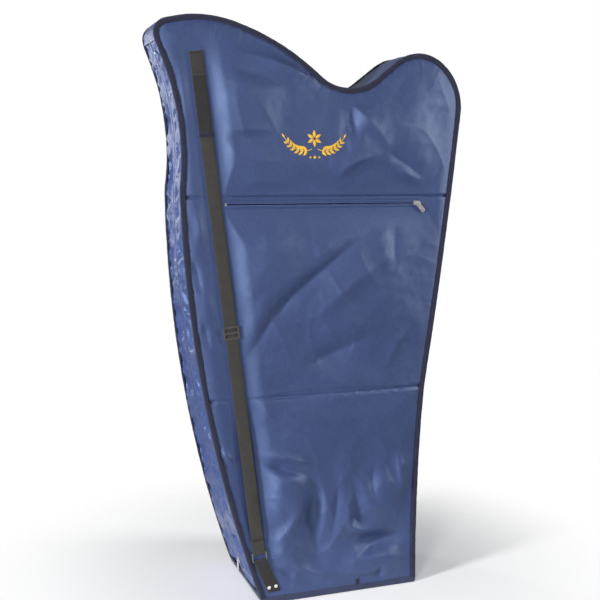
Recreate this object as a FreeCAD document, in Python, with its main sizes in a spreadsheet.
# A padded nylon carrying bag for a floor-standing lever harp, closed and standing on its base.
# Sizes are in millimetres. +Z is up, X runs along the harp's profile with the zipped pillar side
# at -X, and the pocket side faces -Y. The origin is under the middle of the whole bag, on
# the flat underside.

import FreeCAD, Part
import math
import os
from FreeCAD import Placement, Rotation, Vector

doc = FreeCAD.newDocument("HarpBag")

# Driving sizes

sheet = doc.addObject("Spreadsheet::Sheet", "Sizes")

# The profile's points, clockwise from the hem's left end. Each arc passes through three of them.
PROFILE = {
    "hem_left": (-164.0, 0.0),
    "pillar_low": (-284.0, 440.0),
    "pillar_waist": (-347.0, 1040.0),
    "pillar_high": (-343.0, 1180.0),
    "pillar_top": (-379.0, 1345.0),
    "tip_low": (-398.0, 1392.0),
    "tip_side": (-395.0, 1428.0),
    "tip_top": (-366.0, 1441.0),
    "neck_crest": (-285.0, 1452.0),
    "neck_start": (-196.0, 1436.0),
    "neck_middle": (-89.0, 1390.0),
    "neck_end": (4.0, 1325.0),
    "valley": (98.0, 1289.0),
    "bump_start": (176.0, 1324.0),
    "bump_left": (231.0, 1366.0),
    "bump_crest": (286.0, 1383.0),
    "bump_right": (358.0, 1354.0),
    "shoulder": (392.0, 1306.0),
    "spine_top": (402.0, 1245.0),
    "spine_middle": (352.0, 900.0),
    "spine_low": (288.0, 525.0),
    "spine_foot": (267.0, 290.0),
    "hem_right": (257.0, 0.0),
}

SIZES = {
    "base_depth": 300.0,
    "top_depth": 140.0,
    "skin_thick": 1.5,
    "padding_thick": 8.0,
    "lining_thick": 1.5,
    "gusset_thick": 2.0,
    "gusset_padding": 6.0,
    "board_thick": 4.0,
    "foam_thick": 12.0,
    "binding_proud": 3.0,
    "binding_width": 9.0,
    "hem_rise": 14.0,
    "pocket_zip_level": 1005.0,
    "pocket_seam_gap": 18.0,
    "pocket_bottom": 530.0,
    "pocket_zip_left": -240.0,
    "pocket_zip_right": 286.0,
    "backing_thick": 1.0,
    "tape_thick": 1.0,
    "tape_width": 13.0,
    "slit_half": 4.0,
    "chain_width": 2.3,
    "chain_thick": 2.5,
    "chain_gap": 2.2,
    "stop_length": 4.0,
    "slider_length": 16.0,
    "slider_width": 11.0,
    "slider_plate": 1.6,
    "slider_post": 1.5,
    "fit_gap": 0.3,
    "bridge_wire": 1.6,
    "bridge_span": 7.0,
    "bridge_rise": 3.8,
    "pull_length": 30.0,
    "pull_width": 11.0,
    "pull_thick": 1.6,
    "pull_slack": 0.6,
    "pull_hole": 3.2,
    "pull_droop": 48.0,
    "main_zip_foot": 30.0,
    "main_zip_head": 1370.0,
    "slider_park": 62.0,
    "webbing_width": 32.0,
    "webbing_thick": 1.6,
    "strap_top_x": -303.0,
    "strap_top_level": 1370.0,
    "strap_ring_x": -172.0,
    "strap_ring_level": 114.0,
    "patch_length": 55.0,
    "anchor_length": 195.0,
    "keeper_length": 9.0,
    "keeper_thick": 1.5,
    "adjuster_level": 581.0,
    "adjuster_length": 32.0,
    "adjuster_bar": 4.2,
    "adjuster_plate": 2.0,
    "rear_bar": 0.8,
    "cheek": 4.0,
    "ring_wire": 3.0,
    "ring_length": 20.0,
    "ring_lift": 1.8,
    "hem_anchor_shift": 28.0,
    "hem_anchor_drop": 88.0,
    "rivet_radius": 4.5,
    "rivet_thick": 1.6,
    "rivet_spacing": 18.0,
    "hem_tab_x": 93.0,
    "hem_tab_width": 10.0,
    "hem_tab_length": 26.0,
    "hem_tab_thick": 1.5,
}
for name, (x, z) in PROFILE.items():
    SIZES[name + "_x"] = x
    SIZES[name + "_z"] = z
for row, (name, value) in enumerate(SIZES.items(), start=1):
    sheet.set("A%d" % row, name)
    sheet.set("B%d" % row, str(value))
    sheet.setAlias("B%d" % row, name)
doc.recompute()


def size(name):
    return float(sheet.get(name))


# The profile and the leaning faces

FAR = 2000.0
CORNER_INSET = 80.0
height = max(size(name + "_z") for name in PROFILE)
lean = math.degrees(math.atan((size("base_depth") - size("top_depth")) / 2.0 / height))
wall = size("skin_thick") + size("padding_thick") + size("lining_thick")
base_stack = size("gusset_thick") + size("board_thick") + size("foam_thick") + size("lining_thick")


def point(name):
    return Vector(size(name + "_x"), 0.0, size(name + "_z"))


def arc(start, middle, end):
    return Part.Arc(point(start), point(middle), point(end)).toShape()


def line(start, end):
    return Part.makeLine(point(start), point(end))


profile = Part.Wire([
    arc("hem_left", "pillar_low", "pillar_waist"),
    arc("pillar_waist", "pillar_high", "pillar_top"),
    line("pillar_top", "tip_low"),
    arc("tip_low", "tip_side", "tip_top"),
    arc("tip_top", "neck_crest", "neck_start"),
    arc("neck_start", "neck_middle", "neck_end"),
    arc("neck_end", "valley", "bump_start"),
    line("bump_start", "bump_left"),
    arc("bump_left", "bump_crest", "bump_right"),
    arc("bump_right", "shoulder", "spine_top"),
    arc("spine_top", "spine_middle", "spine_low"),
    arc("spine_low", "spine_foot", "hem_right"),
    line("hem_right", "hem_left"),
])


def inset(distance):
    """The profile moved inward by a distance, or outward by a negative one."""
    if abs(distance) < 1e-6:
        return profile
    return profile.makeOffset2D(-distance, 0)


def through(wire):
    """A solid of the wire's shape that runs right through the bag along Y."""
    block = Part.Face(wire).extrude(Vector(0, 2 * FAR, 0))
    block.translate(Vector(0, -FAR, 0))
    return block


def polygon(points):
    """A closed outline in the profile's plane from (x, z) pairs."""
    corners = [Vector(x, 0, z) for x, z in points]
    return Part.makePolygon(corners + corners[:1])


def band(low, high):
    """Everything between two levels."""
    return Part.makeBox(2 * FAR, 2 * FAR, high - low, Vector(-FAR, -FAR, low))


def ring(outer, inner):
    """The strip that follows the profile between two insets."""
    return through(inset(outer)).cut(through(inset(inner)))


# The front face's own frame: X as before, +Y into the bag, +Z up along the leaning face.
front_face = Placement(Vector(0, -size("base_depth") / 2.0, 0), Rotation(Vector(1, 0, 0), -lean))


def layer(outer, inner, low=-FAR, high=FAR):
    """A slab parallel to the front face between two depths and two levels on that face."""
    slab = Part.makeBox(2 * FAR, inner - outer, high - low, Vector(-FAR, outer, low))
    slab.Placement = front_face
    return slab


def between_faces(depth):
    """The wedge between the two leaning faces, each moved inward by a depth."""
    front = layer(depth, FAR)
    back = front.mirror(Vector(0, 0, 0), Vector(0, 1, 0))
    return front.common(back)


parts = []


def keep(name, shape):
    """Add a sewn or moulded piece whose shape is worked out above."""
    piece = doc.addObject("Part::Feature", name)
    piece.Label = name
    piece.Shape = shape.removeSplitter()
    parts.append(piece)
    return piece


def mirrored(source, name):
    """The same piece on the back face."""
    piece = doc.addObject("Part::Mirroring", name)
    piece.Label = name
    piece.Source = source
    piece.Base = Vector(0, 0, 0)
    piece.Normal = Vector(0, 1, 0)
    parts.append(piece)
    return piece


# The padded front and back

seam_level = size("pocket_zip_level") + size("pocket_seam_gap")
slit_low = size("pocket_zip_level") - size("slit_half")
slit_high = size("pocket_zip_level") + size("slit_half")
skin = size("skin_thick")
padding_end = skin + size("padding_thick")
backing_start = skin + size("tape_thick")
backing_end = backing_start + size("backing_thick")
whole = through(profile)
inner = through(inset(size("gusset_thick")))
above_base = band(size("gusset_thick"), FAR)


def zip_side(low, high, left, right):
    """Skin beside the pocket's zip, so that the slit ends where the zip ends."""
    strip = Part.makeBox(right - left, skin, high - low, Vector(left, 0, low))
    strip.Placement = front_face
    return strip


zip_slit = zip_side(slit_low, slit_high, size("pocket_zip_left"), size("pocket_zip_right"))
keep("front_upper_panel", whole.common(layer(0, skin, size("pocket_zip_level"))).cut(zip_slit))
pocket_skin = layer(0, skin, size("pocket_bottom"), size("pocket_zip_level"))
keep("front_pocket_panel", whole.common(pocket_skin).cut(zip_slit))
keep("front_lower_panel", whole.common(layer(0, skin, -FAR, size("pocket_bottom"))).common(band(0, FAR)))

trough = Part.makeBox(
    size("pocket_zip_right") - size("pocket_zip_left"),
    size("slider_plate") * 2 + size("chain_thick"),
    size("slider_width") + 4 * size("fit_gap"),
    Vector(size("pocket_zip_left"), skin, size("pocket_zip_level") - size("slider_width") / 2 - 2 * size("fit_gap")),
)
trough.Placement = front_face
pocket_room = layer(skin, backing_end, size("pocket_bottom"), seam_level)
backing = inner.common(layer(backing_start, backing_end, size("pocket_bottom"), seam_level)).cut(trough)
keep("front_pocket_backing", backing)
front_padding = inner.common(layer(skin, padding_end)).common(above_base)
keep("front_padding", front_padding.cut(pocket_room).cut(trough))
front_lining = keep("front_lining", inner.common(layer(padding_end, wall)).common(above_base))

back_skin_source = doc.addObject("Part::Feature", "back_skin_pattern")
back_skin_source.Shape = whole.common(layer(0, skin)).common(band(0, FAR))
mirrored(back_skin_source, "back_panel")
back_padding_source = doc.addObject("Part::Feature", "back_padding_pattern")
back_padding_source.Shape = front_padding
mirrored(back_padding_source, "back_padding")
mirrored(front_lining, "back_lining")

# The gussets round the sides, split at the pillar's tip, at the shoulder and at the hem

split_left = size("tip_low_z")
split_right = size("spine_top_z")
under_neck = size("valley_z") - CORNER_INSET
hem_top = size("gusset_thick")
neck_side = through(polygon([
    (-FAR, split_left), (size("pillar_top_x") + CORNER_INSET, split_left), (0, under_neck),
    (size("bump_left_x"), under_neck), (size("spine_top_x") - CORNER_INSET, split_right),
    (FAR, split_right), (FAR, FAR), (-FAR, FAR),
]))
pillar_side = through(polygon([
    (-FAR, hem_top), (0, hem_top), (0, under_neck), (size("pillar_top_x") + CORNER_INSET, split_left), (-FAR, split_left),
]))
spine_side = through(polygon([
    (0, hem_top), (FAR, hem_top), (FAR, split_right), (size("spine_top_x") - CORNER_INSET, split_right),
    (size("bump_left_x"), under_neck), (0, under_neck),
]))
inside_skins = between_faces(skin)
inside_walls = between_faces(wall)
gusset_ring = ring(0, size("gusset_thick")).common(inside_skins)
padding_ring = ring(size("gusset_thick"), size("gusset_thick") + size("gusset_padding")).common(inside_walls)
over_stack = band(base_stack, FAR)

keep("top_gusset", gusset_ring.common(neck_side))
keep("top_gusset_padding", padding_ring.common(neck_side))
keep("spine_gusset", gusset_ring.common(spine_side))
keep("spine_gusset_padding", padding_ring.common(spine_side).common(over_stack))
keep("base_panel", gusset_ring.common(band(0, size("gusset_thick"))))

zip_gusset = gusset_ring.common(pillar_side)
front_of_slit = Part.makeBox(2 * FAR, FAR, 2 * FAR, Vector(-FAR, -FAR - size("slit_half"), -FAR))
zip_flap_front = keep("zip_flap_front", zip_gusset.common(front_of_slit))
mirrored(zip_flap_front, "zip_flap_back")

# The base: a stiff board, foam and lining on the base panel

floor_levels = [
    ("base_board", size("gusset_thick"), size("board_thick")),
    ("base_foam", size("gusset_thick") + size("board_thick"), size("foam_thick")),
    ("base_lining", base_stack - size("lining_thick"), size("lining_thick")),
]
for name, low, thick in floor_levels:
    keep(name, inner.common(inside_walls).common(band(low, low + thick)))

# The bindings over the seams, and the hem band round the base

bag = whole.common(between_faces(0))
proud = size("binding_proud")
above_hem = band(size("hem_rise"), FAR)
edge = ring(-proud, size("binding_width")).common(layer(-proud, size("binding_width")))
front_binding = keep("front_binding", edge.common(above_hem).cut(bag))
mirrored(front_binding, "back_binding")
hem = through(inset(-proud)).common(between_faces(-proud)).common(band(0, size("hem_rise")))
keep("hem_band", hem.cut(bag))

# The main zip down the pillar side: tapes, chains and end stops


def zip_strip(outer, inner_edge, near, far, low, high):
    """A strip of the zip along the pillar side, between two insets, two offsets in Y and two levels."""
    strip = ring(outer, inner_edge).common(pillar_side).common(band(low, high))
    return strip.common(Part.makeBox(2 * FAR, far - near, 2 * FAR, Vector(-FAR, near, -FAR)))


tape_outer = size("gusset_thick")
tape_inner = tape_outer + size("tape_thick")
chain_outer = tape_inner + size("fit_gap") - size("chain_thick")
chain_near = -size("chain_gap") / 2 - size("chain_width")
zip_low = size("main_zip_foot")
zip_high = size("main_zip_head")
tape = zip_strip(tape_outer, tape_inner, chain_near - size("tape_width"), chain_near, zip_low, zip_high)
chain_end = -size("chain_gap") / 2
chain = zip_strip(chain_outer, tape_inner, chain_near, chain_end, zip_low + size("stop_length"),
                  zip_high - size("stop_length"))
main_tape = keep("main_zip_tape_front", tape)
mirrored(main_tape, "main_zip_tape_back")
main_chain = keep("main_zip_chain_front", chain)
mirrored(main_chain, "main_zip_chain_back")
foot_stop = zip_strip(chain_outer, tape_inner, chain_near, -chain_near, zip_low, zip_low + size("stop_length"))
head_stop = zip_strip(chain_outer, tape_inner, chain_near, -chain_near, zip_high - size("stop_length"), zip_high)
keep("main_zip_stops", Part.makeCompound([foot_stop, head_stop]))

# Zip sliders and pulls. A slider's own frame has X along the zip, Y into the bag, Z across it.


def bind(feature, **links):
    for key, expression in links.items():
        feature.setExpression(key, expression)


def primitive(kind, name, frame, **links):
    feature = doc.addObject("Part::" + kind, name)
    feature.Placement = frame
    bind(feature, **links)
    return feature


def fuse(name, pieces):
    """One solid from overlapping or touching primitives, placed as a whole."""
    feature = doc.addObject("Part::MultiFuse", name)
    feature.Label = name
    feature.Shapes = pieces
    feature.Refine = True
    return feature


def slider_at(name, frame, chain_depth, droop):
    """Two plates either side of the chain, joined by a post, with a wire arch that holds the pull."""
    length = size("slider_length")
    width = size("slider_width")
    plate = size("slider_plate")
    top = -size("fit_gap") - plate
    under = chain_depth + size("fit_gap")
    post = size("slider_post")
    wire = size("bridge_wire")
    rise = size("bridge_rise")

    def place(x, y, z):
        return Placement(Vector(x, y, z), Rotation())

    top_plate = primitive("Box", name + "_top", place(-length / 2, top, -width / 2),
                          Length="Sizes.slider_length", Width="Sizes.slider_plate", Height="Sizes.slider_width")
    under_plate = primitive("Box", name + "_under", place(-length / 2, under, -width / 2),
                            Length="Sizes.slider_length", Width="Sizes.slider_plate", Height="Sizes.slider_width")
    divider = primitive("Box", name + "_post", place(length / 2 - 3 * post, top + plate / 2, -post / 2),
                        Length="Sizes.slider_post * 2", Height="Sizes.slider_post")
    divider.Width = under - top
    arch = Placement(Vector(0, top - rise, 0), Rotation(Vector(0, 1, 0), droop))
    span = size("bridge_span")
    bar = primitive("Box", name + "_bar", arch * place(-span / 2, -wire / 2, -wire / 2),
                    Length="Sizes.bridge_span", Width="Sizes.bridge_wire", Height="Sizes.bridge_wire")
    pieces = [top_plate, under_plate, divider, bar]
    for foot in (-span / 2, span / 2 - wire):
        leg = primitive("Box", name + "_leg", arch * place(foot, -wire / 2, -wire / 2),
                        Length="Sizes.bridge_wire", Height="Sizes.bridge_wire",
                        Width="Sizes.bridge_rise + Sizes.bridge_wire / 2 + Sizes.slider_plate / 2")
        pieces.append(leg)
    slider = fuse(name, pieces)
    slider.Placement = frame
    parts.append(slider)
    pin_depth = top - rise + wire / 2 + size("fit_gap") + size("pull_thick") / 2
    return Placement(Vector(0, pin_depth, 0), Rotation(Vector(0, 1, 0), droop))


def slot_sketch(body, plane, name):
    """A sketch on one of the body's own planes."""
    sketch = body.newObject("Sketcher::SketchObject", name)
    origin = [item for item in body.Origin.OriginFeatures if item.Role == plane][0]
    sketch.AttachmentSupport = [(origin, "")]
    sketch.MapMode = "FlatFace"
    return sketch


def pull_at(name, frame):
    """A flat tab along +X. Its end bar turns in the slider's arch, and its free end has a round hole."""
    body = doc.addObject("PartDesign::Body", name)
    body.Label = name
    outline = slot_sketch(body, "XZ_Plane", name + "_outline")
    half = size("pull_width") / 2
    reach = size("pull_length") - half
    arch_height = size("fit_gap") + size("pull_thick") / 2 + size("bridge_wire")
    window_end = math.hypot(size("bridge_span") / 2, arch_height) + size("fit_gap")
    window_half = size("bridge_wire") / 2 + size("fit_gap") + size("pull_slack")
    corners = [(0, -half), (0, -window_half), (window_end, -window_half), (window_end, window_half),
               (0, window_half), (0, half), (reach, half)]
    geometry = [Part.LineSegment(Vector(*start, 0), Vector(*end, 0)) for start, end in zip(corners, corners[1:])]
    geometry.append(Part.ArcOfCircle(Part.Circle(Vector(reach, 0, 0), Vector(0, 0, 1), half),
                                     -math.pi / 2, math.pi / 2))
    geometry.append(Part.LineSegment(Vector(reach, -half, 0), Vector(0, -half, 0)))
    geometry.append(Part.Circle(Vector(reach, 0, 0), Vector(0, 0, 1), size("pull_hole") / 2))
    outline.addGeometry(geometry, False)
    pad = body.newObject("PartDesign::Pad", name + "_pad")
    pad.Profile = outline
    pad.setExpression("Length", "Sizes.pull_thick")
    pad.Midplane = True
    bar_end = slot_sketch(body, "XY_Plane", name + "_bar_end")
    bar_end.addGeometry([Part.Circle(Vector(0, 0, 0), Vector(0, 0, 1), size("pull_thick") / 2)], False)
    bar = body.newObject("PartDesign::Pad", name + "_bar")
    bar.Profile = bar_end
    bar.setExpression("Length", "Sizes.pull_width")
    bar.Midplane = True
    body.Placement = frame
    parts.append(body)
    return body


# The pocket's zip across the front

level = size("pocket_zip_level")
chain_start = size("fit_gap")
chain_stop = chain_start + size("chain_thick")


def on_front(left, right, outer, inner_depth, low, high):
    """A block in the front face's frame."""
    block = Part.makeBox(right - left, inner_depth - outer, high - low, Vector(left, outer, low))
    block.Placement = front_face
    return block


left_end = size("pocket_zip_left")
right_end = size("pocket_zip_right")
chain_low = size("chain_gap") / 2
chain_high = chain_low + size("chain_width")
tape_top = chain_high + size("tape_width")
upper_tape = on_front(left_end, right_end, skin, skin + size("tape_thick"), level + chain_high, level + tape_top)
lower_tape = on_front(left_end, right_end, skin, skin + size("tape_thick"), level - tape_top, level - chain_high)
keep("pocket_zip_tape_upper", upper_tape)
keep("pocket_zip_tape_lower", lower_tape)
stop = size("stop_length")
keep("pocket_zip_chain_upper", on_front(left_end + stop, right_end - stop, chain_start, chain_stop,
                                        level + chain_low, level + chain_high))
keep("pocket_zip_chain_lower", on_front(left_end + stop, right_end - stop, chain_start, chain_stop,
                                        level - chain_high, level - chain_low))
keep("pocket_zip_stops", Part.makeCompound([
    on_front(left_end, left_end + stop, chain_start, chain_stop, level - chain_high, level + chain_high),
    on_front(right_end - stop, right_end, chain_start, chain_stop, level - chain_high, level + chain_high),
]))
slider_x = right_end - stop - size("slider_length") / 2 - 1.0
pocket_slider_frame = front_face * Placement(Vector(slider_x, 0, level), Rotation())
bridge = slider_at("pocket_zip_slider", pocket_slider_frame, chain_stop, size("pull_droop"))
pull_at("pocket_zip_pull", pocket_slider_frame * bridge)

# The main zip's slider, parked near the zip's foot. It travels round the pillar arc's centre.

# Its pull hangs plumb, which is a little away from the sloping gusset.
pillar_arc = profile.OrderedEdges[0].Curve
centre = pillar_arc.Center
radius = pillar_arc.Radius
park_z = size("slider_park")
park_x = centre.x - math.sqrt(radius ** 2 - (park_z - centre.z) ** 2)
slope = math.degrees(math.atan2(park_z - centre.z, park_x - centre.x))
main_slider_frame = Placement(Vector(park_x, 0, park_z), Rotation(Vector(0, 1, 0), -slope + 180.0)) * \
    Placement(Vector(0, 0, 0), Rotation(Vector(0, 1, 0), 90)) * \
    Placement(Vector(0, 0, 0), Rotation(Vector(1, 0, 0), 90))
main_bridge = slider_at("main_zip_slider", main_slider_frame, tape_inner, 0.0)
hang = Placement(Vector(0, 0, 0), Rotation(Vector(0, 0, 1), -(slope + 180.0)))
pull_at("main_zip_pull", main_slider_frame * main_bridge * hang)

# The carrying straps. The strap's own frame has Z up along the strap from the ring, Y into the bag.

strap_run = Vector(size("strap_top_x") - size("strap_ring_x"), 0, size("strap_top_level") - size("strap_ring_level"))
strap_length = strap_run.Length
strap_tilt = math.degrees(math.atan2(strap_run.x, strap_run.z))
ring_place = Vector(size("strap_ring_x"), 0, size("strap_ring_level"))
strap_frame = front_face * Placement(ring_place, Rotation(Vector(0, 1, 0), strap_tilt))
half_web = size("webbing_width") / 2
gap = size("fit_gap")
web_under = size("rear_bar") + 2 * gap
web_over = web_under + size("webbing_thick")


def on_strap(left, right, outer, inner_depth, low, high):
    """A block in the strap's frame, with depths counted outward from the skin."""
    block = Part.makeBox(right - left, outer - inner_depth, high - low, Vector(left, -outer, low))
    block.Placement = strap_frame
    return block


def round_bar(radius_of_bar, across, out, up):
    """A round bar across the strap, centred at a height off the skin and a level."""
    bar = Part.makeCylinder(radius_of_bar, across, Vector(-across / 2, -out, up), Vector(1, 0, 0))
    bar.Placement = strap_frame
    return bar


ring_radius = size("ring_wire") / 2
ring_out = ring_radius + gap + size("webbing_thick")
ring_top = size("ring_length")
eye_bore = ring_radius + gap
eye_outer = ring_out

strap_parts = []
strap_parts.append(keep("front_strap_patch", on_strap(
    -half_web, half_web, web_over, web_under, strap_length - size("patch_length"), strap_length)))
strap_parts.append(keep("front_strap_top_anchor", on_strap(
    -half_web, half_web, web_under, 0, strap_length - size("anchor_length"), strap_length)))
webbing_top = strap_length - size("patch_length")
webbing = on_strap(-half_web, half_web, web_over, web_under, ring_top, webbing_top)
webbing = webbing.fuse(round_bar(eye_outer, 2 * half_web, ring_out, ring_top))
strap_parts.append(keep("front_strap_webbing", webbing.cut(round_bar(eye_bore, 3 * half_web, ring_out, ring_top))))

keeper_top = strap_length - size("anchor_length")
keeper_out = web_over + gap + size("keeper_thick")
keeper_half = half_web + gap + size("keeper_thick")
keeper = on_strap(-keeper_half, keeper_half, keeper_out, 0, keeper_top - size("keeper_length"), keeper_top)
keeper_slot = on_strap(-half_web - gap, half_web + gap, web_over + gap, web_under - gap, 0, strap_length)
strap_parts.append(keep("front_strap_keeper", keeper.cut(keeper_slot)))

plate_in = web_over + gap
plate_out = plate_in + size("adjuster_plate")
cheek_in = half_web + gap
cheek_out = cheek_in + size("cheek")
adjuster_low = size("adjuster_level") - size("adjuster_length") / 2
adjuster_high = adjuster_low + size("adjuster_length")
bar = size("adjuster_bar")
slot_space = (size("adjuster_length") - 3 * bar) / 2
frame_block = on_strap(-cheek_out, cheek_out, plate_out, gap, adjuster_low, adjuster_high)
passage = on_strap(-cheek_in, cheek_in, plate_in, web_under - gap, 0, strap_length)
adjuster = frame_block.cut(passage)
for slot in range(2):
    slot_foot = adjuster_low + bar + slot * (slot_space + bar)
    adjuster = adjuster.cut(on_strap(-cheek_in, cheek_in, FAR, -FAR, slot_foot, slot_foot + slot_space))
strap_parts.append(keep("front_strap_adjuster", adjuster))

ring_half = half_web + gap + ring_radius
ring_bars = round_bar(ring_radius, 2 * ring_half, ring_out, 0)
ring_bars = ring_bars.fuse(round_bar(ring_radius, 2 * ring_half, ring_out, ring_top))
for side in (-1, 1):
    leg = Part.makeCylinder(ring_radius, ring_top, Vector(side * ring_half, -ring_out, 0), Vector(0, 0, 1))
    leg.Placement = strap_frame
    ring_bars = ring_bars.fuse(leg)
    for up in (0, ring_top):
        knuckle = Part.makeSphere(ring_radius, Vector(side * ring_half, -ring_out, up))
        knuckle.Placement = strap_frame
        ring_bars = ring_bars.fuse(knuckle)
strap_parts.append(keep("front_strap_ring", ring_bars))

# The hem anchor slants to the hem. Its eye is long enough for the ring's lower bar to lift.
shift = size("hem_anchor_shift")
drop = size("hem_anchor_drop")
anchor_face = Part.Face(polygon([(-half_web, 0), (half_web, 0), (half_web + shift, -drop), (-half_web + shift, -drop)]))
anchor = anchor_face.extrude(Vector(0, -web_over, 0))
anchor.Placement = strap_frame
lift = size("ring_lift")
anchor = anchor.fuse(round_bar(eye_outer, 2 * half_web, ring_out, 0))
anchor = anchor.fuse(round_bar(eye_outer, 2 * half_web, ring_out + lift, 0))
anchor = anchor.fuse(on_strap(-half_web, half_web, ring_out + lift, ring_out, -eye_outer, eye_outer))
for raised in (0, lift):
    anchor = anchor.cut(round_bar(eye_bore, 3 * half_web, ring_out + raised, 0))
anchor = anchor.cut(on_strap(-2 * half_web, 2 * half_web, ring_out + lift, ring_out, -eye_bore, eye_bore))
strap_parts.append(keep("front_strap_hem_anchor", anchor))

rivets = []
for side in (-1, 1):
    across = shift * 0.85 + side * size("rivet_spacing") / 2
    rivet = Part.makeCylinder(size("rivet_radius"), size("rivet_thick"), Vector(across, -web_over, -0.85 * drop),
                              Vector(0, -1, 0))
    edges = [edge_line for edge_line in rivet.Edges if edge_line.BoundBox.YMin < -web_over - gap]
    rivet = rivet.makeFillet(size("rivet_thick") * 0.6, [item for item in edges if item.Closed])
    rivet.Placement = strap_frame
    rivets.append(rivet)
strap_parts.append(keep("front_strap_rivets", Part.makeCompound(rivets)))

for piece in strap_parts:
    mirrored(piece, piece.Label.replace("front_", "back_"))

# A small tab sewn to the front hem
tab_left = size("hem_tab_x") - size("hem_tab_width") / 2
keep("hem_tab", on_front(tab_left, tab_left + size("hem_tab_width"), -size("hem_tab_thick"), 0,
                         size("hem_rise") + 1.0, size("hem_rise") + 1.0 + size("hem_tab_length")))

# Check every object, then write one file for each piece

doc.recompute()
for item in doc.Objects:
    if "Invalid" in item.State or "Error" in item.State:
        raise RuntimeError("%s did not build: %s" % (item.Label, item.State))
for piece in parts:
    if piece.Shape.isNull() or not piece.Shape.isValid() or not piece.Shape.Solids:
        raise RuntimeError("%s has no valid solid" % piece.Label)
os.makedirs("parts", exist_ok=True)
for piece in parts:
    piece.Shape.exportStep("parts/%s.step" % piece.Label)
    box = piece.Shape.BoundBox
    print("%-26s %2d solid  volume %10.0f  x %.1f..%.1f y %.1f..%.1f z %.1f..%.1f" % (
        piece.Label, len(piece.Shape.Solids), piece.Shape.Volume,
        box.XMin, box.XMax, box.YMin, box.YMax, box.ZMin, box.ZMax))
print("pieces", len(parts), "height", round(height, 1), "lean", round(lean, 3))
print("pillar centre", centre, "radius", round(radius, 1), "slider at", park_x, park_z, "slope", slope)
